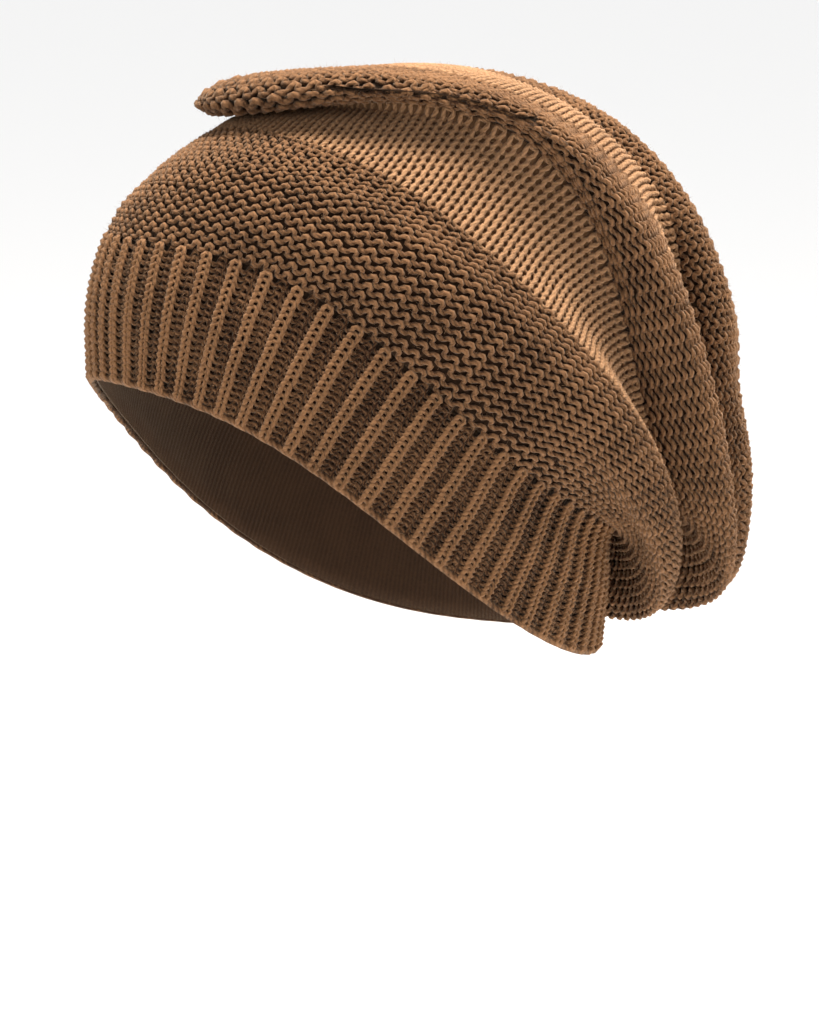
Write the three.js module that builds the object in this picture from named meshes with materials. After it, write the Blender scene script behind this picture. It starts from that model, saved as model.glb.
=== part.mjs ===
import * as THREE from 'three';

// A slouchy knit beanie in the form that it has when worn.
// The head opening's centre is the origin, the brow faces -Y and +Z is up.
// The hat is one long tube of knitting, lofted through the closed rows of
// SECTIONS. A point on it has a turn around the head, from 0 at the brow over
// the left side (+X) to PI at the nape, and a row, counted from the rim.
// Lengths are in millimetres.

// Head opening and ribbed band
const OPENING_LENGTH = 174;
const OPENING_WIDTH = 158;
const OPENING_SLOPE = 94;
const BAND_DEPTH = 40;
const RIB_COUNT = 62;
const RIB_RELIEF = 1.8;

// How far round the head a rib leans back at the sides, in degrees of turn from
// the rim to its top, so that it stands square to the sloping rim
const RIB_LEAN = 16;

// Slouching bag above the band
const BAG_LENGTH = 227;
const BAG_WIDTH = 188;
const BAG_RISE = 108;

// Knitted walls, and the gap that keeps neighbouring bands apart
const RIB_WALL = 3.4;
const GARTER_WALL = 3.2;
const SMOOTH_WALL = 2.4;
const CROWN_WALL = 2.4;
const GAP = 0.3;

// Gathers that draw the crown together
const GATHER_COUNT = 9;
const GATHER_DEPTH = 3;

// Mesh steps: four to a rib around the band, and one count for every soft band
const STEPS_PER_RIB = 4;
const SOFT_STEPS = 64;
const SLOPE_STEP = 0.01;

// Sizes that the sections follow: the opening's for the band, the bag's above it
const BAND = { length: OPENING_LENGTH, halfWidth: OPENING_WIDTH / 2, rise: OPENING_SLOPE };
const BAG = { length: BAG_LENGTH, halfWidth: BAG_WIDTH / 2, rise: BAG_RISE };

// Sections of the tube, from the rim to the gathered end. All but row, size
// and lift are per cent: y behind the brow's front of the size's length, x of
// its half width, and z of its rise, above lift times the band's depth. A
// section is an oval through its front, side and back. Brow, shoulder and hip
// raise it off its own plane at 45, 60 and 120 degrees of turn, per cent of
// the rise. Turned and canted push and lift the left side against the right,
// per cent of x, and square fills the oval's corners.
const COLUMNS = [
  'name', 'row', 'size', 'lift', 'frontY', 'frontZ', 'brow', 'shoulder',
  'sideX', 'sideY', 'sideZ', 'hip', 'backY', 'backZ', 'turned', 'canted', 'square',
];
const SECTIONS = [
  ['rim', 0, BAND, 0, 0.5, 52, 3, 3, 100, 50, -15, -5.5, 100.5, -48, 0, 0, 0],
  ['rib_middle', 10, BAND, 0.5, 0.5, 56.5, 3, 4.5, 104, 51.5, -11.5, -4.5, 101, -50, 0, 0, 0],
  ['rib_top', 20, BAND, 1, 3.5, 58.5, 4.5, 5.5, 106.5, 54.5, -9.5, -3, 101.5, -52, 0, 0, 0],
  ['lower_start', 26, BAG, 1, 5.5, 63, 4.5, 3.5, 95.5, 46, 0, -3.5, 79.5, -57.5, 0, 1, 2],
  ['lower_middle', 33, BAG, 1, 10.5, 74, 6, -1, 98.5, 52, 2.5, -5.5, 82, -76, 1, 4, 3],
  ['lower_roll', 39, BAG, 1, 15.5, 78.5, 7, -5.5, 98, 56, 2.5, -7.5, 84, -72, 2, 6, 4],
  ['lower_top', 44, BAG, 1, 20.5, 82.5, 7.5, -6.5, 95, 59.5, 2, -9.5, 84.5, -62, 3, 7, 4],
  ['valley', 51, BAG, 1, 24, 85.5, 5.5, 5, 84, 61.5, 6, -10, 83.5, -50, 4, 8.5, 6],
  ['middle_start', 58, BAG, 1, 28, 87.5, 2.5, 16.5, 80, 65, 9, -12.5, 85, -44, 5, 10, 10],
  ['middle_tuck', 62, BAG, 1, 20.5, 85.5, 5, 17, 85.5, 66.5, 11, -12, 88, -59.5, 5, 10, 10],
  ['middle_roll', 66, BAG, 1, 18, 90, 5.5, 14.5, 92, 70.5, 11.5, -12.5, 89.5, -75, 5, 11, 8],
  ['middle_back', 71, BAG, 1, 23, 97, 6.5, 11.5, 90, 73.5, 12, -13, 92, -70.5, 5, 11, 6],
  ['middle_top', 78, BAG, 1, 43.5, 98.5, 4.5, 6, 84, 76, 12.5, -12, 92.5, -60, 4, 10, 4],
  ['upper_valley', 84, BAG, 1, 50.5, 98.5, 3, 8, 79, 78, 13.5, -11, 92, -49, 3, 8, 4],
  ['upper_start', 90, BAG, 1, 57.5, 97, 2.5, 7.5, 76.5, 80, 12.5, -8, 93, -45, 0, 5, 4],
  ['upper_roll', 97, BAG, 1, 65.5, 93.5, 1.5, 5, 76, 84.5, 12, -6, 95.5, -71, 0, 3, 4],
  ['upper_back', 102, BAG, 1, 71.5, 88, 0.5, 3, 72.5, 87.5, 11, -5, 98, -67, 0, 2, 4],
  ['upper_top', 106, BAG, 1, 77, 79.5, 0, 2.5, 65.5, 89.5, 10.5, -4, 98.5, -54, 0, 1, 2],
  ['crown_middle', 116, BAG, 1, 88.5, 52, 0, 1.5, 38.5, 93.5, 11, -2, 98.5, -26, 0, 0, 0],
  ['crown_end', 122, BAG, 1, 94, 18.5, 0, 0, 5.5, 95.5, 13, 0, 96.5, 7.5, 0, 0, 0],
].map((values) => Object.fromEntries(COLUMNS.map((column, i) => [column, values[i]])));

// Dents pressed into the cloth: where each is deepest, how far it spreads
// around the head and along the rows, and its depth as a share of the bag's
// rise. A negative depth is a swelling.
const DENTS = [
  { name: 'pocket', turn: 82, turnSpread: 17, row: 86, rowSpread: 5, depth: 0.085 },
  { name: 'pocket_lip', turn: 62, turnSpread: 10, row: 92, rowSpread: 6, depth: -0.02 },
  { name: 'nape_dent', turn: 128, turnSpread: 16, row: 25, rowSpread: 4, depth: 0.03 },
  { name: 'crown_notch', turn: 98, turnSpread: 12, row: 103, rowSpread: 5, depth: 0.035 },
  { name: 'right_dent', turn: 292, turnSpread: 24, row: 54, rowSpread: 8, depth: 0.03 },
  { name: 'right_brow', turn: 330, turnSpread: 26, row: 32, rowSpread: 9, depth: 0.075 },
  { name: 'lip_end', turn: 38, turnSpread: 20, row: 64, rowSpread: 4, depth: 0.07 },
];

// Bands of the hat, from the rim to the gathered end
const BANDS = [
  { name: 'ribbed_band', from: 'rim', to: 'rib_top', steps: 2, wall: RIB_WALL, colour: 0x7d5f45, ribbed: true },
  { name: 'garter_band_lower', from: 'rib_top', to: 'lower_top', steps: 6, wall: GARTER_WALL, colour: 0x7a5a40 },
  { name: 'smooth_band_lower', from: 'lower_top', to: 'middle_start', steps: 4, wall: SMOOTH_WALL, colour: 0x8c6a4c },
  { name: 'garter_band_middle', from: 'middle_start', to: 'middle_top', steps: 7, wall: GARTER_WALL, colour: 0x7a5a40 },
  { name: 'smooth_band_upper', from: 'middle_top', to: 'upper_start', steps: 3, wall: SMOOTH_WALL, colour: 0x94714f },
  { name: 'garter_band_upper', from: 'upper_start', to: 'upper_top', steps: 5, wall: GARTER_WALL, colour: 0x7a5a40 },
  { name: 'crown', from: 'upper_top', to: 'crown_end', steps: 5, wall: CROWN_WALL, colour: 0x866548, closed: true },
];

// One point of a section's oval, at a turn around the head
function sectionPoint(section, turn) {
  const { length, halfWidth, rise } = section.size;
  const base = section.lift * BAND_DEPTH;
  const browY = -OPENING_LENGTH / 2;
  const across = Math.sin(turn);
  const along = Math.cos(turn);
  const share = (value) => value / 100;
  const place = (y, z) => new THREE.Vector2(browY + share(y) * length, base + share(z) * rise);
  const front = place(section.frontY, section.frontZ);
  const back = place(section.backY, section.backZ);
  const side = place(section.sideY, section.sideZ);
  const centre = front.clone().add(back).multiplyScalar(0.5);
  const reach = front.clone().sub(centre);
  const raised = new THREE.Vector2(reach.y, -reach.x).normalize();
  const square = share(section.square);
  const x = share(section.sideX) * halfWidth * (across + square * Math.sin(3 * turn)) / (1 - square);
  const brow = section.brow * Math.sin(2 * turn) ** 2 * (1 + along) / 1.7;
  const shoulder = section.shoulder * 1.6 * across ** 2 * along * (1 + along);
  const hip = -section.hip * 1.6 * across ** 2 * along * (1 - along);
  const point = centre.clone()
    .addScaledVector(reach, along)
    .addScaledVector(side.clone().sub(centre), across ** 2)
    .addScaledVector(raised, share(brow + shoulder + hip) * rise);
  return new THREE.Vector3(
    x,
    point.x + share(section.turned) * x,
    point.y + share(section.canted) * x,
  );
}

// A point of the tube: a smooth cubic through the section points at one turn
function tubePoint(turn, row) {
  const last = SECTIONS.length - 1;
  let i = SECTIONS.findIndex((section, k) => k < last && row < SECTIONS[k + 1].row);
  if (i < 0) i = last - 1;
  const at = (k) => sectionPoint(SECTIONS[k], turn);
  const span = (k) => SECTIONS[k + 1].row - SECTIONS[k].row;
  const chord = (k) => at(k + 1).sub(at(k)).divideScalar(span(k));
  const tangent = (k) => {
    if (k === 0) return chord(0);
    if (k === last) return chord(last - 1);
    const whole = span(k - 1) + span(k);
    return chord(k - 1).multiplyScalar(span(k) / whole).addScaledVector(chord(k), span(k - 1) / whole);
  };
  const t = (row - SECTIONS[i].row) / span(i);
  return at(i).multiplyScalar(2 * t ** 3 - 3 * t ** 2 + 1)
    .addScaledVector(tangent(i), (t ** 3 - 2 * t ** 2 + t) * span(i))
    .addScaledVector(at(i + 1), -2 * t ** 3 + 3 * t ** 2)
    .addScaledVector(tangent(i + 1), (t ** 3 - t ** 2) * span(i));
}

// Directions of the tube at a point: along the row, up the rows and outwards
function tubeFrame(turn, row) {
  const around = tubePoint(turn + SLOPE_STEP, row).sub(tubePoint(turn - SLOPE_STEP, row)).normalize();
  const up = tubePoint(turn, row + SLOPE_STEP).sub(tubePoint(turn, row - SLOPE_STEP)).normalize();
  const out = around.clone().cross(up).normalize();
  return { around, up, out };
}

// How far a dent pushes the cloth inwards: a bell in turn and in row
function dentDepth(turn, row) {
  const bell = (distance, spread) => Math.exp(-((distance / spread) ** 2));
  const degrees = THREE.MathUtils.radToDeg(turn);
  return DENTS.reduce((sum, dent) => {
    const around = ((degrees - dent.turn + 540) % 360) - 180;
    const weight = bell(around, dent.turnSpread) * bell(row - dent.row, dent.rowSpread);
    return sum + dent.depth * BAG_RISE * weight;
  }, 0);
}

// How far a gather draws the crown inwards, fading to nothing at both its ends
function gatherDepth(turn, row) {
  const start = sectionNamed('upper_top').row;
  const end = sectionNamed('crown_end').row;
  if (row <= start) return 0;
  const fade = Math.sin(Math.PI * (row - start) / (end - start));
  return GATHER_DEPTH * fade * (1 - Math.cos(GATHER_COUNT * turn)) / 2;
}

function sectionNamed(name) {
  return SECTIONS.find((section) => section.name === name);
}

// Outer and inner point of a band's wall. Its two edges stand back by half
// the gap from the bands next to it, and a purl recess lies below its ribs.
function wallPoints(band, turn, row, edge, step) {
  const { up, out } = tubeFrame(turn, row);
  const place = tubePoint(turn, row)
    .addScaledVector(up, edge * GAP / 2)
    .addScaledVector(out, -dentDepth(turn, row) - gatherDepth(turn, row));
  const recessed = band.ribbed && step % STEPS_PER_RIB >= STEPS_PER_RIB / 2;
  const outer = place.clone().addScaledVector(out, recessed ? -RIB_RELIEF : 0);
  const inner = place.clone().addScaledVector(out, -band.wall);
  return { outer, inner };
}

// A closed wall: rings of points outside and inside, joined at the two edges,
// or drawn together to one point each at a closed end
function bandGeometry(band) {
  const first = sectionNamed(band.from).row;
  const last = sectionNamed(band.to).row;
  const around = band.ribbed ? RIB_COUNT * STEPS_PER_RIB : SOFT_STEPS;
  const outerRings = [];
  const innerRings = [];
  for (let i = 0; i <= band.steps; i += 1) {
    const row = first + (last - first) * i / band.steps;
    const edge = Number(i === 0) - Number(i === band.steps);
    const lean = band.ribbed ? THREE.MathUtils.degToRad(RIB_LEAN) * (i / band.steps - 0.5) : 0;
    const points = [];
    for (let k = 0; k < around; k += 1) {
      const turn = 2 * Math.PI * k / around;
      points.push(wallPoints(band, turn + lean * Math.sin(turn), row, edge, k));
    }
    outerRings.push(points.map((point) => point.outer));
    innerRings.push(points.map((point) => point.inner));
  }
  const innerKept = band.ribbed ? [innerRings[0], innerRings[band.steps]] : innerRings;
  return closedGeometry(outerRings, innerKept, band.closed);
}

// Triangles between rings that follow each other around the wall's section.
// Both edges of a wall are split from the outer ring's k to the inner ring's
// next point, so that two neighbouring edges stay parallel where they twist.
function closedGeometry(outerRings, innerRings, closed) {
  const rings = [...outerRings, ...innerRings.slice().reverse()];
  const around = rings[0].length;
  const last = rings.length - 1;
  const end = outerRings.length - 1;
  const positions = rings.flat().flatMap((point) => point.toArray());
  const index = [];
  const quad = (a, b, c, d) => index.push(a, b, c, a, c, d);
  for (let k = 0; k < around; k += 1) {
    const l = (k + 1) % around;
    for (let j = 0; j < last; j += 1) {
      if (closed && j === end) continue;
      quad(j * around + k, j * around + l, (j + 1) * around + l, (j + 1) * around + k);
    }
    quad(last * around + l, l, k, last * around + k);
  }
  if (closed) {
    addPole(positions, index, rings[end], end * around, false);
    addPole(positions, index, rings[end + 1], (end + 1) * around, true);
  }
  const geometry = new THREE.BufferGeometry();
  geometry.setAttribute('position', new THREE.Float32BufferAttribute(positions, 3));
  geometry.setIndex(index);
  geometry.computeVertexNormals();
  return geometry;
}

// A fan of triangles from a ring to its middle point
function addPole(positions, index, ring, offset, inward) {
  const middle = ring.reduce((sum, point) => sum.add(point), new THREE.Vector3()).divideScalar(ring.length);
  const pole = positions.length / 3;
  positions.push(...middle.toArray());
  ring.forEach((point, k) => {
    const l = (k + 1) % ring.length;
    if (inward) index.push(offset + l, offset + k, pole);
    else index.push(offset + k, offset + l, pole);
  });
}

const hat = new THREE.Group();
BANDS.forEach((band) => {
  const material = new THREE.MeshStandardMaterial({ color: band.colour, roughness: 0.95, metalness: 0 });
  const mesh = new THREE.Mesh(bandGeometry(band), material);
  mesh.name = band.name;
  hat.add(mesh);
});

export default hat;
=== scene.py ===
import bmesh
import bpy
import numpy as np
from mathutils import Matrix


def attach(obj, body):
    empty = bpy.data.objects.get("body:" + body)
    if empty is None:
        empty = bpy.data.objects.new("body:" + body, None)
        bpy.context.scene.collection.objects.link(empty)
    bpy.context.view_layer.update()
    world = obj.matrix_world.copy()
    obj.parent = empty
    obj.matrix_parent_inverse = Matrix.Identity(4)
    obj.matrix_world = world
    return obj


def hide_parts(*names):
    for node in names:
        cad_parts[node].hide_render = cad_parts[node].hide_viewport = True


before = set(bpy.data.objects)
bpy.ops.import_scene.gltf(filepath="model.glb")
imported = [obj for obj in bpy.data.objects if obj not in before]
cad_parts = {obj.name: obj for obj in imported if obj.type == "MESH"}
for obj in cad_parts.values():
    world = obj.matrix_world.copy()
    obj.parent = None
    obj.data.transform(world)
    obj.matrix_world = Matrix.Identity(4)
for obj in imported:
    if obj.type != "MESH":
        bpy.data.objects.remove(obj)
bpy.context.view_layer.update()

# Ribbed band
# The hat's grip: a one by one rib in chunky brown wool, worked in the round from a
# cast-on edge. Knit columns stand up as two bright legs, and purl columns sink
# between them. The whole hat is one tube of cloth, so its form starts here.

OPENING_LENGTH = 0.174
OPENING_WIDTH = 0.158
OPENING_SLOPE = 0.094
BAND_DEPTH = 0.040
BAG_LENGTH = 0.227
BAG_WIDTH = 0.188
BAG_RISE = 0.108
BAND = (OPENING_LENGTH, OPENING_WIDTH / 2, OPENING_SLOPE)
BAG = (BAG_LENGTH, BAG_WIDTH / 2, BAG_RISE)

# Each closed row of the tube, from the rim to the gathered end. Per cent of the
# band's or the bag's size: the front's y and z, how far brow and shoulder are
# raised, the side's x, y and z, the hip, the back's y and z, and how far the left
# side is turned, canted and squared.
ROWS = [
    ("rim", 0, BAND, 0, 0.5, 52, 3, 3, 100, 50, -15, -5.5, 100.5, -48, 0, 0, 0),
    ("rib_middle", 10, BAND, 0.5, 0.5, 56.5, 3, 4.5, 104, 51.5, -11.5, -4.5, 101, -50, 0, 0, 0),
    ("rib_top", 20, BAND, 1, 3.5, 58.5, 4.5, 5.5, 106.5, 54.5, -9.5, -3, 101.5, -52, 0, 0, 0),
    ("lower_start", 26, BAG, 1, 5.5, 63, 4.5, 3.5, 95.5, 46, 0, -3.5, 79.5, -57.5, 0, 1, 2),
    ("lower_middle", 33, BAG, 1, 10.5, 74, 6, -1, 98.5, 52, 2.5, -5.5, 82, -76, 1, 4, 3),
    ("lower_roll", 39, BAG, 1, 15.5, 78.5, 7, -5.5, 98, 56, 2.5, -7.5, 84, -72, 2, 6, 4),
    ("lower_top", 44, BAG, 1, 20.5, 82.5, 7.5, -6.5, 95, 59.5, 2, -9.5, 84.5, -62, 3, 7, 4),
    ("valley", 51, BAG, 1, 24, 85.5, 5.5, 5, 84, 61.5, 6, -10, 83.5, -50, 4, 8.5, 6),
    ("middle_start", 58, BAG, 1, 28, 87.5, 2.5, 16.5, 80, 65, 9, -12.5, 85, -44, 5, 10, 10),
    ("middle_tuck", 62, BAG, 1, 20.5, 85.5, 5, 17, 85.5, 66.5, 11, -12, 88, -59.5, 5, 10, 10),
    ("middle_roll", 66, BAG, 1, 18, 90, 5.5, 14.5, 92, 70.5, 11.5, -12.5, 89.5, -75, 5, 11, 8),
    ("middle_back", 71, BAG, 1, 23, 97, 6.5, 11.5, 90, 73.5, 12, -13, 92, -70.5, 5, 11, 6),
    ("middle_top", 78, BAG, 1, 43.5, 98.5, 4.5, 6, 84, 76, 12.5, -12, 92.5, -60, 4, 10, 4),
    ("upper_valley", 84, BAG, 1, 50.5, 98.5, 3, 8, 79, 78, 13.5, -11, 92, -49, 3, 8, 4),
    ("upper_start", 90, BAG, 1, 57.5, 97, 2.5, 7.5, 76.5, 80, 12.5, -8, 93, -45, 0, 5, 4),
    ("upper_roll", 97, BAG, 1, 65.5, 93.5, 1.5, 5, 76, 84.5, 12, -6, 95.5, -71, 0, 3, 4),
    ("upper_back", 102, BAG, 1, 71.5, 88, 0.5, 3, 72.5, 87.5, 11, -5, 98, -67, 0, 2, 4),
    ("upper_top", 106, BAG, 1, 77, 79.5, 0, 2.5, 65.5, 89.5, 10.5, -4, 98.5, -54, 0, 1, 2),
    ("crown_middle", 116, BAG, 1, 88.5, 52, 0, 1.5, 38.5, 93.5, 11, -2, 98.5, -26, 0, 0, 0),
    ("crown_end", 122, BAG, 1, 94, 18.5, 0, 0, 5.5, 95.5, 13, 0, 96.5, 7.5, 0, 0, 0),
]
AT = {row[0]: row[1] for row in ROWS}

# Dents in the worn cloth: turn and its spread in degrees, row and its spread, and
# depth as a share of the bag's rise
DENTS = [
    ("pocket", 82, 17, 86, 5, 0.085),
    ("pocket_lip", 62, 10, 92, 6, -0.02),
    ("nape_dent", 128, 16, 25, 4, 0.03),
    ("crown_notch", 98, 12, 103, 5, 0.035),
    ("right_dent", 292, 24, 54, 8, 0.03),
    ("right_brow", 330, 26, 32, 9, 0.075),
    ("lip_end", 38, 20, 64, 4, 0.07),
]
GATHERS = 9
GATHER_DEPTH = 0.003

# The peaks of the brow's and the shoulder's curves, points round a row, rows between
# rings, and how far, in points, a column may move and how widely its move is evened
BROW_PEAK = 1.7
SHOULDER_PEAK = 0.625
TURNS = 720
ROW_STEP = 0.25
FARTHEST = 40
EVENED = 15


def closed_row(row, turn):
    """One closed row of the tube at an array of turns: an oval through the row's
    front, side and back, lifted off its own plane at brow, shoulder and hip."""
    _, _, (length, half, rise), lift, fy, fz, brow, shoulder = row[:8]
    sx, sy, sz, hip, ky, kz, turned, canted, square = row[8:]
    across, along = np.sin(turn), np.cos(turn)
    front = np.array([fy / 100 * length, fz / 100 * rise])
    back = np.array([ky / 100 * length, kz / 100 * rise])
    side = np.array([sy / 100 * length, sz / 100 * rise])
    centre = (front + back) / 2
    reach = front - centre
    raised = np.array([reach[1], -reach[0]]) / np.hypot(*reach)
    bend = (
        brow * np.sin(2 * turn) ** 2 * (1 + along) / BROW_PEAK
        + shoulder * across**2 * along * (1 + along) / SHOULDER_PEAK
        - hip * across**2 * along * (1 - along) / SHOULDER_PEAK
    ) / 100 * rise
    x = sx / 100 * half * (across + square / 100 * np.sin(3 * turn)) / (1 - square / 100)
    yz = centre[:, None] + reach[:, None] * along
    yz = yz + (side - centre)[:, None] * across**2 + raised[:, None] * bend
    y = yz[0] - OPENING_LENGTH / 2 + turned / 100 * x
    z = yz[1] + lift * BAND_DEPTH + canted / 100 * x
    return np.stack([x, y, z], axis=-1)


def outward(points):
    """Unit normals of a grid (row, turn): around the row, crossed with up the rows."""
    around = np.roll(points, -1, axis=1) - np.roll(points, 1, axis=1)
    up = np.gradient(points, axis=0)
    normal = np.cross(around, up)
    return normal / np.linalg.norm(normal, axis=-1, keepdims=True)


def tube_grid(first, last):
    """The tube between two rows as a grid (row, turn): a cubic through the closed
    rows at every turn, then pushed in along its normal by the dents and gathers."""
    turn = np.arange(TURNS) * 2 * np.pi / TURNS
    knots = np.array([row[1] for row in ROWS], dtype=float)
    ovals = np.array([closed_row(row, turn) for row in ROWS])
    spans = np.diff(knots)
    chords = np.diff(ovals, axis=0) / spans[:, None, None]
    slopes = np.empty_like(ovals)
    slopes[0], slopes[-1] = chords[0], chords[-1]
    before, after = spans[:-1, None, None], spans[1:, None, None]
    slopes[1:-1] = (chords[:-1] * after + chords[1:] * before) / (before + after)
    rows = np.linspace(first, last, int(round((last - first) / ROW_STEP)) + 1)
    at = np.clip(np.searchsorted(knots, rows, side="right") - 1, 0, len(spans) - 1)
    span = spans[at][:, None, None]
    t = ((rows - knots[at]) / spans[at])[:, None, None]
    points = (
        (2 * t**3 - 3 * t**2 + 1) * ovals[at]
        + (t**3 - 2 * t**2 + t) * span * slopes[at]
        + (3 * t**2 - 2 * t**3) * ovals[at + 1]
        + (t**3 - t**2) * span * slopes[at + 1]
    )
    degrees = np.degrees(turn)
    push = np.zeros((len(rows), TURNS))
    for _, dent_turn, turn_spread, dent_row, row_spread, depth in DENTS:
        away = (degrees - dent_turn + 540) % 360 - 180
        push += depth * BAG_RISE * np.exp(-((away / turn_spread) ** 2)) * np.exp(
            -(((rows[:, None] - dent_row) / row_spread) ** 2)
        )
    crown_part = (rows - AT["upper_top"]) / (AT["crown_end"] - AT["upper_top"])
    fade = np.sin(np.pi * np.clip(crown_part, 0, 1))[:, None]
    push += GATHER_DEPTH * fade * (1 - np.cos(GATHERS * turn)) / 2
    return points - outward(points) * push[..., None]


def band_cloth(first, last, squared=0.85, rings=97):
    """A band of the tube with its rings evenly spaced along each turn's length. Its
    columns start evenly at mid height, and from there up and down each moves round
    the row by the slant summed so far, so that columns stand square to rows."""
    points = tube_grid(first, last)
    steps = np.linalg.norm(np.diff(points, axis=0), axis=-1)
    run = np.vstack([np.zeros(TURNS), np.cumsum(steps, axis=0)])
    wanted = np.linspace(0, 1, rings)[:, None] * run[-1]
    low = np.clip((run[None] <= wanted[:, None]).sum(axis=1) - 1, 0, len(run) - 2)
    column = np.arange(TURNS)
    part = (wanted - run[low, column]) / (run[low + 1, column] - run[low, column])
    even = points[low, column] * (1 - part[..., None]) + points[low + 1, column] * part[..., None]
    around = (np.roll(even, -1, axis=1) - np.roll(even, 1, axis=1)) / 2
    up = np.gradient(even, axis=0)
    slant = -(around * up).sum(-1) / (around**2).sum(-1)
    moved = np.cumsum(slant, axis=0)
    moved = squared * (moved - moved[rings // 2])
    moved = FARTHEST * np.tanh(moved / FARTHEST)
    moved = sum(np.roll(moved, shift, axis=1) for shift in range(-EVENED, EVENED + 1)) / (2 * EVENED + 1)
    place = column + moved
    left = np.floor(place).astype(int)
    across = (place - left)[..., None]
    ring = np.arange(rings)[:, None]
    straight = even[ring, left % TURNS] * (1 - across) + even[ring, (left + 1) % TURNS] * across
    return {"points": straight, "normals": outward(straight)}


def on_cloth(cloth, turn, height):
    """Places and normals on a band at a turn in whole turns and a height from 0 at
    its lower edge to 1 at its upper edge, read between the four nearest points."""
    points, normals = cloth["points"], cloth["normals"]
    column = (turn % 1.0) * TURNS
    ring = np.clip(height, 0, 1) * (len(points) - 1)
    left = np.floor(column).astype(int)
    low = np.minimum(np.floor(ring).astype(int), len(points) - 2)
    across, up = (column - left)[..., None], (ring - low)[..., None]
    left, right = left % TURNS, (left + 1) % TURNS

    def between(grid):
        lower = grid[low, left] * (1 - across) + grid[low, right] * across
        upper = grid[low + 1, left] * (1 - across) + grid[low + 1, right] * across
        return lower * (1 - up) + upper * up

    normal = between(normals)
    return between(points), normal / np.linalg.norm(normal, axis=-1, keepdims=True)


def unevenness(strands, stitches, points, seed, beat=1):
    """Hand-knit unevenness, about -1 to 1 along each strand: one random value for
    every beat of stitches, with a half cosine from each value to the next."""
    count = max(3, stitches // beat)
    values = np.clip(np.random.default_rng(seed).normal(0, 0.5, (strands, count)), -1, 1)
    at = np.arange(stitches * points) * count / (stitches * points)
    low = np.floor(at).astype(int)
    part = (1 - np.cos(np.pi * (at - low))) / 2
    return values[:, low] * (1 - part) + values[:, (low + 1) % count] * part


def piece_from(name, points, faces, uvs, material, level=None):
    """A mesh piece from arrays of corners and faces, smooth shaded, with one UV per
    face corner and, on stitches, each corner's level above the cloth in metres."""
    mesh = bpy.data.meshes.new(name)
    mesh.vertices.add(len(points))
    mesh.vertices.foreach_set("co", np.ascontiguousarray(points, dtype=np.float32).ravel())
    mesh.loops.add(faces.size)
    mesh.polygons.add(len(faces))
    mesh.polygons.foreach_set("loop_start", np.arange(len(faces), dtype=np.int32) * faces.shape[1])
    mesh.loops.foreach_set("vertex_index", faces.astype(np.int32).ravel())
    layer = mesh.uv_layers.new(name="yarn")
    layer.data.foreach_set("uv", np.ascontiguousarray(uvs, dtype=np.float32).ravel())
    if level is not None:
        heights = mesh.attributes.new("level", "FLOAT", "POINT")
        heights.data.foreach_set("value", level.astype(np.float32).ravel())
    mesh.update(calc_edges=True)
    mesh.validate()
    mesh.polygons.foreach_set("use_smooth", np.ones(len(mesh.polygons), dtype=bool))
    piece = bpy.data.objects.new(name, mesh)
    bpy.context.scene.collection.objects.link(piece)
    mesh.materials.append(material)
    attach(piece, "root")
    return piece


def yarn_piece(name, material, place, normal, level, thickness, sides=5):
    """Closed strands of yarn as tubes. Each strand runs through its places on the
    cloth, raised along the normal by its level, and its section is a circle across
    it, turned by the cloth's normal. Arrays are (strand, point)."""
    path = place + normal * level[..., None]
    strands, count = path.shape[:2]
    along = np.roll(path, -1, axis=1) - np.roll(path, 1, axis=1)
    along /= np.linalg.norm(along, axis=-1, keepdims=True)
    out = normal - along * (normal * along).sum(-1, keepdims=True)
    out /= np.linalg.norm(out, axis=-1, keepdims=True)
    across = np.cross(out, along)
    angle = 2 * np.pi * np.arange(sides) / sides
    thick = np.broadcast_to(thickness, (strands, count))[..., None, None]
    section = np.cos(angle)[:, None] * out[:, :, None] + np.sin(angle)[:, None] * across[:, :, None]
    points = path[:, :, None] + thick * section
    strand, point, side = np.meshgrid(np.arange(strands), np.arange(count), np.arange(sides), indexing="ij")

    def corner(dp, ds):
        return (strand * count + (point + dp) % count) * sides + (side + ds) % sides

    faces = np.stack([corner(0, 0), corner(1, 0), corner(1, 1), corner(0, 1)], axis=-1).reshape(-1, 4)
    step = np.linalg.norm(np.roll(path, -1, axis=1) - path, axis=-1)
    run = np.concatenate([np.zeros((strands, 1)), np.cumsum(step, axis=1)], axis=1)
    start, end = run[strand, point], run[strand, point + 1]
    low, high = side / sides, (side + 1) / sides
    around_face = [(start, low), (end, low), (end, high), (start, high)]
    uvs = np.stack([np.stack(place, -1) for place in around_face], axis=-2).reshape(-1, 2)
    raised = level[..., None] + (thick * section * normal[:, :, None]).sum(-1)
    return piece_from(name, points.reshape(-1, 3), faces, uvs, material, raised)


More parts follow.
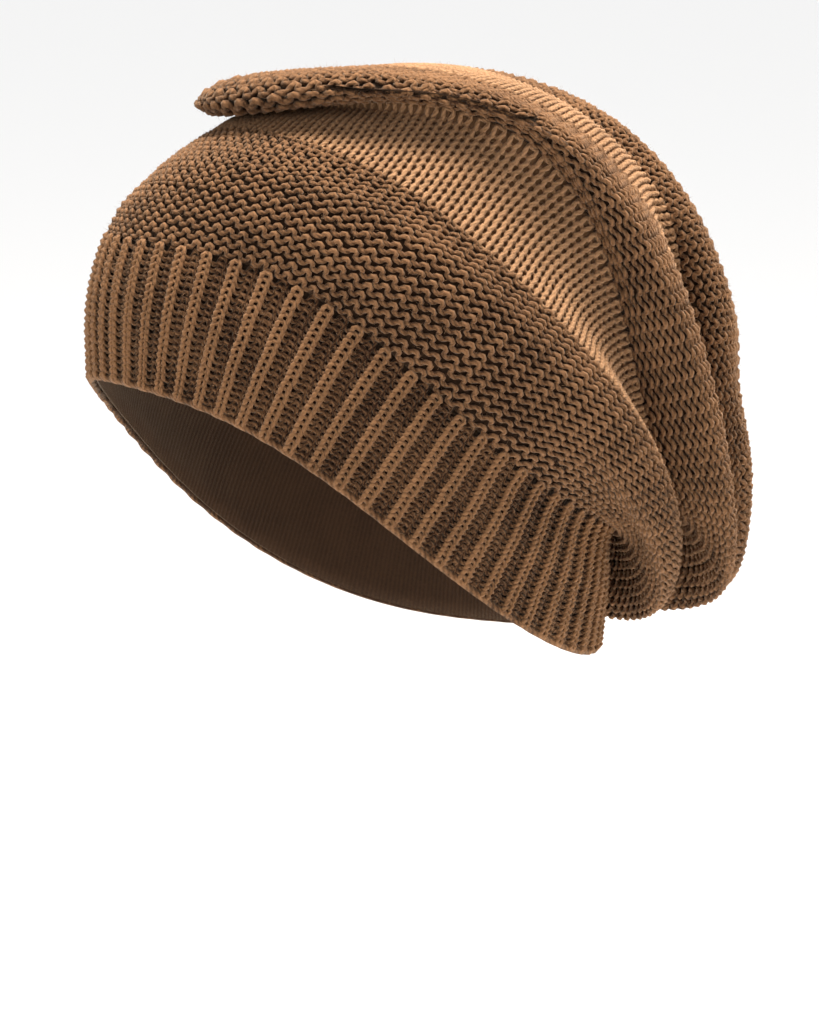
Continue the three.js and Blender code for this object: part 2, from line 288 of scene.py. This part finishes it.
def wall_piece(name, cloth, outer, inner, material, around=186, rings=9, closed_end=False):
    """The closed ground of a band, behind its stitches: an outer and an inner face at
    two depths under the cloth, joined along both edges or closed at a pole."""
    turn, height = np.meshgrid(np.arange(around) / around, np.linspace(0, 1, rings))
    middle, normal = on_cloth(cloth, turn, height)
    shell = np.concatenate([middle - normal * outer, (middle - normal * inner)[::-1]])
    count = len(shell)
    ring, column = np.meshgrid(np.arange(count), np.arange(around), indexing="ij")
    following, beside = (ring + 1) % count, (column + 1) % around
    lower, upper = ring * around, following * around
    faces = np.stack([lower + column, lower + beside, upper + beside, upper + column], axis=-1)
    if closed_end:
        faces = np.delete(faces, rings - 1, axis=0)
        ring = np.delete(ring, rings - 1, axis=0)
        column = np.delete(column, rings - 1, axis=0)
    left, right = column / around, (column + 1) / around
    low, high = ring / count, (ring + 1) / count
    around_face = [(left, low), (right, low), (right, high), (left, high)]
    uvs = np.stack([np.stack(place, -1) for place in around_face], axis=-2)
    piece = piece_from(name, shell.reshape(-1, 3), faces.reshape(-1, 4), uvs.reshape(-1, 2), material)
    if closed_end:
        mesh = bmesh.new()
        mesh.from_mesh(piece.data)
        bmesh.ops.holes_fill(mesh, edges=[edge for edge in mesh.edges if edge.is_boundary], sides=0)
        bmesh.ops.triangulate(mesh, faces=[face for face in mesh.faces if len(face.verts) > 4])
        mesh.to_mesh(piece.data)
        mesh.free()
    return piece


# One turn of the yarn's twist, how fine its fibres and its fading are, and the tone
# below which it is darkest
TWIST_LENGTH = 0.0026
FIBRE_SCALE = 1500
FADING_SCALE = 60
DARKEST_TONE = 0.42


def wool(name, light, dark, shading=230):
    """Soft matte wool. Its tone is a sum of the yarn's twist, a slanting stripe over
    its UV, of fine fibres in object space, of a broad fading and of painted shade:
    the level times the shading darkens the yarn the deeper it lies in the hollows.
    A ramp turns the tone into colour. Twist and fibres also raise the surface."""
    material = bpy.data.materials.new(name)
    material.use_nodes = True
    nodes, links = material.node_tree.nodes, material.node_tree.links
    shader = nodes["Principled BSDF"]
    shader.inputs["Roughness"].default_value = 0.95
    shader.inputs["Specular IOR Level"].default_value = 0.1
    shader.inputs["Sheen Weight"].default_value = 0.15
    shader.inputs["Sheen Roughness"].default_value = 0.5
    shader.inputs["Sheen Tint"].default_value = (1.0, 0.8, 0.6, 1)
    place = nodes.new("ShaderNodeTexCoord")

    def weighted(source, weight, rest=None):
        """The source times a weight, with the rest added to it."""
        node = nodes.new("ShaderNodeMath")
        node.operation = "MULTIPLY_ADD"
        links.new(source, node.inputs[0])
        node.inputs[1].default_value = weight
        node.inputs[2].default_value = 0.0
        if rest is not None:
            links.new(rest, node.inputs[2])
        return node.outputs[0]

    def noise(scale, detail, roughness):
        """Noise in object space, between 0 and 1."""
        node = nodes.new("ShaderNodeTexNoise")
        node.inputs["Scale"].default_value = scale
        node.inputs["Detail"].default_value = detail
        node.inputs["Roughness"].default_value = roughness
        links.new(place.outputs["Object"], node.inputs["Vector"])
        return node.outputs["Fac"]

    split = nodes.new("ShaderNodeSeparateXYZ")
    links.new(place.outputs["UV"], split.inputs[0])
    stripe = nodes.new("ShaderNodeMath")
    stripe.operation = "PINGPONG"
    stripe.inputs[1].default_value = 0.5
    slant = weighted(split.outputs["X"], 1 / TWIST_LENGTH, weighted(split.outputs["Y"], 3.0))
    links.new(slant, stripe.inputs[0])
    level = nodes.new("ShaderNodeAttribute")
    level.attribute_name = "level"
    fibres = noise(FIBRE_SCALE, 4, 0.75)
    # Painted shade: the level, below zero under the cloth, times the shading paints deeper yarn darker; the
    # broad fading is random tone
    fading_and_painted_shade = weighted(noise(FADING_SCALE, 2, 0.5), 0.5, weighted(level.outputs["Fac"], shading))
    tone = weighted(fibres, 0.9, weighted(stripe.outputs[0], 0.6, fading_and_painted_shade))
    ramp = nodes.new("ShaderNodeValToRGB")
    ramp.color_ramp.elements[0].position = DARKEST_TONE
    ramp.color_ramp.elements[0].color = (*dark, 1)
    ramp.color_ramp.elements[1].position = 1.0
    ramp.color_ramp.elements[1].color = (*light, 1)
    links.new(tone, ramp.inputs["Fac"])
    links.new(ramp.outputs["Color"], shader.inputs["Base Color"])
    bump = nodes.new("ShaderNodeBump")
    bump.inputs["Strength"].default_value = 0.7
    bump.inputs["Distance"].default_value = 0.0006
    links.new(weighted(stripe.outputs[0], 0.9, fibres), bump.inputs["Height"])
    links.new(bump.outputs["Normal"], shader.inputs["Normal"])
    return material


# The rib's stitches round the hat, courses, points in a stitch and yarn radius
STITCHES = 124
RIB_COURSES = 21
RIB_POINTS = 7
RIB_YARN = 0.00086

# A knit stitch's share of two, how far a loop reaches in courses, and how far each
# kind's legs are drawn in
KNIT_SHARE = 0.51
LOOP_REACH = 0.66
KNIT_DRAWN_IN = 0.115
PURL_DRAWN_IN = 0.07

# How deep each kind lies under the cloth's face, and how far it rises and bows
KNIT_DEPTH = 0.0013
KNIT_RELIEF = 0.0012
KNIT_BOW = 0.0006
PURL_DEPTH = 0.0019
PURL_BOW = 0.0004

# The cast-on strand's yarn radius, points in a stitch, height and wave, and the two
# depths of the ground behind the rib
EDGE_YARN = 0.0012
EDGE_POINTS = 4
EDGE_HEIGHT = 0.004
EDGE_WAVE = 0.0004
RIB_GROUND = (0.0027, 0.0034)

rib_wool = wool("rib wool", light=(0.225, 0.112, 0.051), dark=(0.024, 0.009, 0.0035))
# Painted shade: the ground wool is painted far darker than the yarn, to darken the holes between the
# stitches
rib_ground_shade_wool = wool("rib ground painted shade wool", light=(0.04, 0.02, 0.01), dark=(0.015, 0.007, 0.004))
rib_cloth = band_cloth(AT["rim"], AT["rib_top"])


def rib_courses(cloth):
    """Courses of one by one rib. A course is a looped line: up a cosine, and along
    the phase plus a sine of twice the phase, in a broad knit and a narrow purl
    stitch by turns. Knit stitches lie out and show their two legs. Purl stitches lie
    in, and their tops and feet come out as small bars."""
    phase = np.arange(STITCHES * RIB_POINTS) / RIB_POINTS
    stitch = np.floor(phase)
    part = phase - stitch
    s = 2 * np.pi * part
    knit = stitch % 2 == 0
    start = stitch + np.where(knit, 0, 2 * KNIT_SHARE - 1)
    width = 2 * np.where(knit, KNIT_SHARE, 1 - KNIT_SHARE)
    loop = part + np.where(knit, KNIT_DRAWN_IN, PURL_DRAWN_IN) * np.sin(2 * s)
    waver = unevenness(RIB_COURSES, STITCHES, RIB_POINTS, 11)
    slack = unevenness(RIB_COURSES, STITCHES, RIB_POINTS, 12, beat=4)
    turn = (start + width * loop + 0.05 * waver) / STITCHES
    course = np.arange(RIB_COURSES)[:, None]
    height = (course + 0.5 - LOOP_REACH * np.cos(s) + 0.09 * waver + 0.08 * slack) / RIB_COURSES
    lain = np.where(knit, KNIT_RELIEF * np.sin(np.pi * part) - KNIT_DEPTH, -PURL_DEPTH)
    bent = np.where(knit, -KNIT_BOW, PURL_BOW) * np.cos(2 * s)
    return *on_cloth(cloth, turn, height), lain + bent + 0.0001 * slack, RIB_YARN


rib_stitches = yarn_piece("ribbed_band_stitches", rib_wool, *rib_courses(rib_cloth))
edge_turn = np.arange(STITCHES * EDGE_POINTS)[None] / (STITCHES * EDGE_POINTS)
edge_place, edge_normal = on_cloth(rib_cloth, edge_turn, np.full_like(edge_turn, EDGE_HEIGHT))
edge_level = EDGE_WAVE * np.cos(np.pi * (STITCHES * edge_turn - KNIT_SHARE)) - KNIT_DEPTH
rib_edge = yarn_piece("ribbed_band_edge", rib_wool, edge_place, edge_normal, edge_level, EDGE_YARN)
rib_ground = wall_piece("ribbed_band_ground", rib_cloth, *RIB_GROUND, rib_ground_shade_wool)
for piece in (rib_stitches, rib_edge, rib_ground):
    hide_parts("ribbed_band")

# Lower garter band
# The first broad band of the bag, in garter stitch: every second course stands up
# as a waving ridge, with dark hollows between ridges. It bulges over the rib.

# Points in a stitch, the ground's two depths, the yarn's least and greatest radius and
# its share of the space between ridges, and this band's ridges
GARTER_POINTS = 8
GARTER_GROUND = (0.0021, 0.0032)
GARTER_YARN_THIN = 0.00085
GARTER_YARN_THICK = 0.00135
GARTER_YARN_SHARE = 0.262
LOWER_RIDGES = 16
# Painted shade: the garter wool is the rib's wool painted a little darker on the garter bands
garter_shade_painted_wool = wool("garter shade painted wool", light=(0.205, 0.102, 0.047), dark=(0.022, 0.008, 0.003))
# Painted shade: the ground wool is painted far darker than the yarn, to darken the holes between the ridges
garter_ground_shade_wool = wool("garter ground painted shade wool", light=(0.04, 0.02, 0.01), dark=(0.015, 0.007, 0.004))


def garter_ridges(cloth, ridges, stitches, seed):
    """Ridges of garter stitch, each one waving strand: up a cosine and a share of its
    double, which gives long flat feet and narrow tops, along with the tops bent over
    to one side, and out at tops and feet. The yarn swells where ridges lie far apart."""
    phase = np.arange(stitches * GARTER_POINTS) / GARTER_POINTS
    ridge = np.arange(ridges)[:, None]
    waver = unevenness(ridges, stitches, GARTER_POINTS, seed)
    tall = unevenness(ridges, stitches, GARTER_POINTS, seed + 1)
    slack = unevenness(ridges, stitches, GARTER_POINTS, seed + 2, beat=6)
    s = 2 * np.pi * phase + np.zeros_like(slack)
    rise = np.cos(s) + 0.16 * np.cos(2 * s)
    turn = (phase + 0.07 * np.sin(2 * s) + 0.05 * np.cos(s) + 0.09 * waver) / stitches
    height = (ridge + 0.5 + (0.29 + 0.07 * tall) * rise + 0.07 * waver + 0.08 * slack) / ridges
    out = 0.0003 * np.cos(s - 0.5) + 0.0003 * np.cos(2 * s) + 0.00015 * tall
    place, normal = on_cloth(cloth, turn, height)
    above, _ = on_cloth(cloth, turn, height + 0.5 / ridges)
    below, _ = on_cloth(cloth, turn, height - 0.5 / ridges)
    pitch = np.linalg.norm(above - below, axis=-1)
    thickness = np.clip(GARTER_YARN_SHARE * pitch, GARTER_YARN_THIN, GARTER_YARN_THICK) * (1 + 0.08 * tall)
    return place, normal, out - thickness - 0.0001, thickness


lower_garter_cloth = band_cloth(AT["rib_top"], AT["lower_top"])
lower_garter = yarn_piece(
    "garter_band_lower_stitches",
    garter_shade_painted_wool,
    *garter_ridges(lower_garter_cloth, LOWER_RIDGES, STITCHES, 21),
)
lower_garter_ground = wall_piece(
    "garter_band_lower_ground", lower_garter_cloth, *GARTER_GROUND, garter_ground_shade_wool, rings=13
)
for piece in (lower_garter, lower_garter_ground):
    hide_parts("garter_band_lower")

# Lower smooth band
# Stocking stitch in the first valley: columns of small Vs, each course's loops drawn
# through the one below. Its wool is painted lighter than the garter bands' as painted light.

# Points in a stitch, the ground's two depths, how deep the yarn lies and how far it
# bows, and this band's courses, yarn radius and weight of the painted shade in the hollows
SMOOTH_POINTS = 9
SMOOTH_GROUND = (0.0018, 0.0024)
SMOOTH_DEPTH = 0.0012
SMOOTH_BOW = 0.0005
LOWER_COURSES = 11
LOWER_SMOOTH_YARN = 0.00088
SMOOTH_SHADING = 120
# Painted light: the same wool as the garter's, painted lighter on the smooth bands; their ground is painted
# darker than their yarn, as painted shade in the holes, though lighter than the other grounds
smooth_light_painted_wool = wool(
    "smooth light painted wool", light=(0.345, 0.192, 0.098), dark=(0.130, 0.064, 0.029), shading=SMOOTH_SHADING
)
smooth_ground_light_and_shade_wool = wool("smooth ground light and shade painted wool", light=(0.16, 0.084, 0.040), dark=(0.08, 0.040, 0.018))


def smooth_courses(cloth, courses, stitches, seed, thickness):
    """Courses of stocking stitch. A course is a looped line: up a cosine, along the
    phase plus a sine of twice the phase, and out at the legs between its loops."""
    phase = np.arange(stitches * SMOOTH_POINTS) / SMOOTH_POINTS
    course = np.arange(courses)[:, None]
    waver = unevenness(courses, stitches, SMOOTH_POINTS, seed)
    s = 2 * np.pi * phase + 0.15 * waver
    turn = (phase + 0.17 * np.sin(2 * s) + 0.05 * waver) / stitches
    height = (course + 0.5 + 0.78 * np.cos(s) * (1 + 0.10 * waver)) / courses
    return *on_cloth(cloth, turn, height), -SMOOTH_DEPTH - SMOOTH_BOW * np.cos(2 * s), thickness


lower_smooth_cloth = band_cloth(AT["lower_top"], AT["middle_start"])
lower_smooth = yarn_piece(
    "smooth_band_lower_stitches",
    smooth_light_painted_wool,
    *smooth_courses(lower_smooth_cloth, LOWER_COURSES, STITCHES, 31, LOWER_SMOOTH_YARN),
)
lower_smooth_ground = wall_piece(
    "smooth_band_lower_ground", lower_smooth_cloth, *SMOOTH_GROUND, smooth_ground_light_and_shade_wool
)
for piece in (lower_smooth, lower_smooth_ground):
    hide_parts("smooth_band_lower")

# Middle garter band
# The second garter band, which laps forwards over the valley as a lip and hangs
# down at the back as the second roll.

MIDDLE_RIDGES = 14
middle_garter_cloth = band_cloth(AT["middle_start"], AT["middle_top"])
middle_garter = yarn_piece(
    "garter_band_middle_stitches",
    garter_shade_painted_wool,
    *garter_ridges(middle_garter_cloth, MIDDLE_RIDGES, STITCHES, 41),
)
middle_garter_ground = wall_piece(
    "garter_band_middle_ground", middle_garter_cloth, *GARTER_GROUND, garter_ground_shade_wool, rings=13
)
for piece in (middle_garter, middle_garter_ground):
    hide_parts("garter_band_middle")

# Upper smooth band
# A narrow strip of stocking stitch, pulled smooth over the top of the slouch and
# pushed in at the left side, where the cloth folds into a deep pocket.

UPPER_COURSES = 8
UPPER_SMOOTH_YARN = 0.00092
upper_smooth_cloth = band_cloth(AT["middle_top"], AT["upper_start"])
upper_smooth = yarn_piece(
    "smooth_band_upper_stitches",
    smooth_light_painted_wool,
    *smooth_courses(upper_smooth_cloth, UPPER_COURSES, STITCHES, 51, UPPER_SMOOTH_YARN),
)
upper_smooth_ground = wall_piece(
    "smooth_band_upper_ground", upper_smooth_cloth, *SMOOTH_GROUND, smooth_ground_light_and_shade_wool
)
for piece in (upper_smooth, upper_smooth_ground):
    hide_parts("smooth_band_upper")

# Upper garter band
# The third and last garter band, the rearmost roll of the slouch, whose ridges run
# down into the nape.

UPPER_RIDGES = 9
upper_garter_cloth = band_cloth(AT["upper_start"], AT["upper_top"])
upper_garter = yarn_piece(
    "garter_band_upper_stitches",
    garter_shade_painted_wool,
    *garter_ridges(upper_garter_cloth, UPPER_RIDGES, STITCHES, 61),
)
upper_garter_ground = wall_piece(
    "garter_band_upper_ground", upper_garter_cloth, *GARTER_GROUND, garter_ground_shade_wool, rings=13
)
for piece in (upper_garter, upper_garter_ground):
    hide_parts("garter_band_upper")

# Crown
# The closing panel at the back, in an open pebbled stitch whose ridges lose
# stitches towards the middle, where the last loops are drawn up on one strand.

# Ridges up the crown, rings drawn over its middle, points that measure a girth, and a
# stitch's length, yarn radius and depth, with the ground's two depths
CROWN_RIDGES = 17
DRAWN_RINGS = 3
RING_POINTS = 240
CROWN_STITCH = 0.0044
CROWN_YARN = 0.00102
CROWN_DEPTH = 0.0011
CROWN_GROUND = (0.0018, 0.0024)
crown_wool = wool("crown wool", light=(0.25, 0.128, 0.062), dark=(0.03, 0.011, 0.004))
crown_cloth = band_cloth(AT["upper_top"], AT["crown_end"], squared=0)
crown_middle = crown_cloth["points"][-1].mean(axis=0)
ring_turn = np.arange(RING_POINTS) / RING_POINTS

# Each ridge is a strand with as many stitches as fit its girth, up and down by a
# cosine. The last ones lie past the crown's last row and are drawn to its middle.
crown_ridges = []
for ridge in range(CROWN_RIDGES + DRAWN_RINGS):
    drawn = min(1, (CROWN_RIDGES + DRAWN_RINGS - 0.3 - ridge) / (DRAWN_RINGS + 0.5))
    ring, _ = on_cloth(crown_cloth, ring_turn, np.full(RING_POINTS, (ridge + 0.5) / CROWN_RIDGES))
    girth = drawn * np.linalg.norm(np.roll(ring, -1, axis=0) - ring, axis=-1).sum()
    stitches = max(6, 2 * int(round(girth / CROWN_STITCH / 2)))
    phase = np.arange(stitches * GARTER_POINTS)[None] / GARTER_POINTS
    s = 2 * np.pi * (phase + 0.5 * (ridge % 2))
    waver = unevenness(1, stitches, GARTER_POINTS, 71 + ridge)
    turn = (phase + 0.06 * np.sin(2 * s) + 0.06 * waver) / stitches
    height = (ridge + 0.5 + 0.29 * np.cos(s) + 0.08 * waver) / CROWN_RIDGES
    place, normal = on_cloth(crown_cloth, turn, height)
    place = crown_middle + (place - crown_middle) * drawn
    level = 0.0004 * np.cos(s) + 0.0001 * waver - CROWN_DEPTH
    crown_ridges.append(yarn_piece("crown_ridge", crown_wool, place, normal, level, CROWN_YARN))
joined = bmesh.new()
for ridge in crown_ridges:
    joined.from_mesh(ridge.data)
crown_stitches = crown_ridges[0]
joined.to_mesh(crown_stitches.data)
joined.free()
crown_stitches.name = crown_stitches.data.name = "crown_stitches"
for ridge in crown_ridges[1:]:
    bpy.data.objects.remove(ridge)
# The crown's ground takes the garter's ground wool, painted dark as painted shade in the holes
crown_ground = wall_piece(
    "crown_ground", crown_cloth, *CROWN_GROUND, garter_ground_shade_wool, rings=13, closed_end=True
)
for piece in (crown_stitches, crown_ground):
    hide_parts("crown")

# Fuzz
# Loose ends of wool that stand off every band, a few millimetres long and finer than
# a hair. Each is a thin three-sided spike that starts inside the yarn.

FUZZ_LENGTH = 0.0026
FUZZ_THICKNESS = 0.000065
FUZZ_PER_AREA = 120000
FUZZ_ROOT_DEPTH = 0.0008
FUZZ_LEAN = 0.9


def fuzz_piece(name, node, cloth, material, seed):
    """Spikes at random places of a band: each goes from its root along the normal,
    tilted by a random share of two directions in the cloth."""
    random = np.random.default_rng(seed)
    points = cloth["points"]
    side = np.linalg.norm(np.roll(points, -1, axis=1)[:-1] - points[:-1], axis=-1)
    area = (side * np.linalg.norm(np.diff(points, axis=0), axis=-1)).sum()
    count = int(area * FUZZ_PER_AREA)
    turn, height = random.random(count), random.uniform(0.01, 0.99, count)
    root, normal = on_cloth(cloth, turn, height)
    ahead, _ = on_cloth(cloth, turn + 0.002, height)
    along = ahead - root
    along /= np.linalg.norm(along, axis=-1, keepdims=True)
    up = np.cross(normal, along)
    lean = random.normal(0, FUZZ_LEAN, (2, count, 1))
    out = normal + along * lean[0] + up * lean[1]
    out /= np.linalg.norm(out, axis=-1, keepdims=True)
    first = np.cross(out, along + 0.3 * normal)
    first /= np.linalg.norm(first, axis=-1, keepdims=True)
    second = np.cross(out, first)
    angle = 2 * np.pi * np.arange(3) / 3
    ring = first[:, None] * np.cos(angle)[:, None] + second[:, None] * np.sin(angle)[:, None]
    start = root - normal * FUZZ_ROOT_DEPTH
    base = start[:, None] + ring * FUZZ_THICKNESS
    tip = start + out * FUZZ_LENGTH * random.uniform(0.5, 1.3, (count, 1))
    corners = np.concatenate([base, tip[:, None]], axis=1).reshape(-1, 3)
    spike = np.array([[0, 1, 3], [1, 2, 3], [2, 0, 3], [2, 1, 0]])
    faces = (np.arange(count)[:, None, None] * 4 + spike).reshape(-1, 3)
    uvs = np.tile([[0, 0], [0, 0.3], [0.002, 0.2]], (len(faces), 1))
    piece = piece_from(name, corners, faces, uvs, material)
    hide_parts(node)


fuzz_wool = wool("fuzz wool", light=(0.36, 0.21, 0.115), dark=(0.14, 0.07, 0.035))
for seed, (node, slot, cloth) in enumerate(
    [
        ("ribbed_band", "rib_knit", rib_cloth),
        ("garter_band_lower", "garter_knit", lower_garter_cloth),
        ("smooth_band_lower", "smooth_knit", lower_smooth_cloth),
        ("garter_band_middle", "garter_knit", middle_garter_cloth),
        ("smooth_band_upper", "smooth_knit", upper_smooth_cloth),
        ("garter_band_upper", "garter_knit", upper_garter_cloth),
        ("crown", "crown_knit", crown_cloth),
    ]
):
    fuzz_piece(node + "_fuzz", node, cloth, fuzz_wool, 81 + seed)

# Floor, light and camera
# A plain pale floor well below the hat, which hangs free in the shape it is worn in. A
# warm light is overhead, a weaker one behind on the right and a faint one in front,
# and the sky is brighter on the far side.

FLOOR_LEVEL = -0.32
FLOOR_REACH = 6
SKY_BRIGHT_SIDE = (-0.75, 0.45, 0.5)

floor_mesh = bpy.data.meshes.new("floor")
floor_sides = ((-1, -1), (1, -1), (1, 1), (-1, 1))
floor_corners = [(x * FLOOR_REACH, y * FLOOR_REACH, FLOOR_LEVEL) for x, y in floor_sides]
floor_mesh.from_pydata(floor_corners, [], [(0, 1, 2, 3)])
floor = bpy.data.objects.new("floor", floor_mesh)
bpy.context.scene.collection.objects.link(floor)
floor_paint = bpy.data.materials.new("pale floor")
floor_paint.use_nodes = True
floor_paint.node_tree.nodes["Principled BSDF"].inputs["Base Color"].default_value = (0.9, 0.9, 0.9, 1)
floor_paint.node_tree.nodes["Principled BSDF"].inputs["Roughness"].default_value = 0.8
floor_mesh.materials.append(floor_paint)

bpy.context.scene.view_settings.view_transform = "Standard"
world = bpy.data.worlds.new("studio")
bpy.context.scene.world = world
world.use_nodes = True
sky, sky_links = world.node_tree.nodes, world.node_tree.links
direction = sky.new("ShaderNodeTexCoord")
facing = sky.new("ShaderNodeVectorMath")
facing.operation = "DOT_PRODUCT"
facing.inputs[1].default_value = SKY_BRIGHT_SIDE
sky_links.new(direction.outputs["Generated"], facing.inputs[0])
brightness = sky.new("ShaderNodeMapRange")
brightness.inputs["From Min"].default_value = -0.9
brightness.inputs["From Max"].default_value = 0.75
brightness.inputs["To Min"].default_value = 0.38
brightness.inputs["To Max"].default_value = 1.18
sky_links.new(facing.outputs["Value"], brightness.inputs["Value"])
sky_links.new(brightness.outputs["Result"], sky["Background"].inputs["Strength"])
sky["Background"].inputs["Color"].default_value = (1.0, 1.0, 1.0, 1)

VIEW_TURN = np.radians(60)
VIEW_RISE = np.radians(8)
VIEW_FAR = 3.0
PIXELS_PER_METRE = 3050
FRAME_HEIGHT = 1024 / PIXELS_PER_METRE
SIDE_SHIFT = 66.5 / PIXELS_PER_METRE
HAT_MIDDLE = (0, 0.03, 0.05)
view_out = np.array(
    [np.sin(VIEW_TURN) * np.cos(VIEW_RISE), -np.cos(VIEW_TURN) * np.cos(VIEW_RISE), np.sin(VIEW_RISE)]
)
view_right = np.array([np.cos(VIEW_TURN), np.sin(VIEW_TURN), 0])


def look(thing, place, aim):
    """Puts a lamp or camera at a place and turns its view to an aim."""
    back = np.array(place) - np.array(aim)
    back = back / np.linalg.norm(back)
    right = np.cross([0, 0, 1], back)
    right = right / np.linalg.norm(right)
    up = np.cross(back, right)
    columns = np.column_stack([right, up, back, place])
    thing.matrix_world = Matrix([*columns.tolist(), [0, 0, 0, 1]])


def soft_light(name, place, size, power, colour=(1, 1, 1)):
    """A broad square lamp that faces the hat."""
    lamp = bpy.data.lights.new(name, "AREA")
    lamp.size = size
    lamp.energy = power
    lamp.color = colour
    thing = bpy.data.objects.new(name, lamp)
    bpy.context.scene.collection.objects.link(thing)
    look(thing, place, HAT_MIDDLE)


upright = np.array([0, 0, 1])
soft_light("key", tuple(view_out * 0.1 + view_right * 0.15 + upright * 1.7), 0.6, 85, (1.0, 0.94, 0.86))
soft_light("rim", tuple(view_right * 1.3 - view_out * 0.9 + upright * 0.5), 0.5, 22, (1.0, 0.92, 0.82))
soft_light("fill", tuple(view_out * 1.5 - view_right * 1.0 + upright * 0.5), 1.2, 5)

camera_data = bpy.data.cameras.new("camera")
camera_data.sensor_width = 36
camera_data.lens = 36 * VIEW_FAR / FRAME_HEIGHT
camera_data.clip_end = 30
camera = bpy.data.objects.new("camera", camera_data)
bpy.context.scene.collection.objects.link(camera)
aim = view_right * SIDE_SHIFT
look(camera, tuple(aim + view_out * VIEW_FAR), tuple(aim))
bpy.context.scene.camera = camera
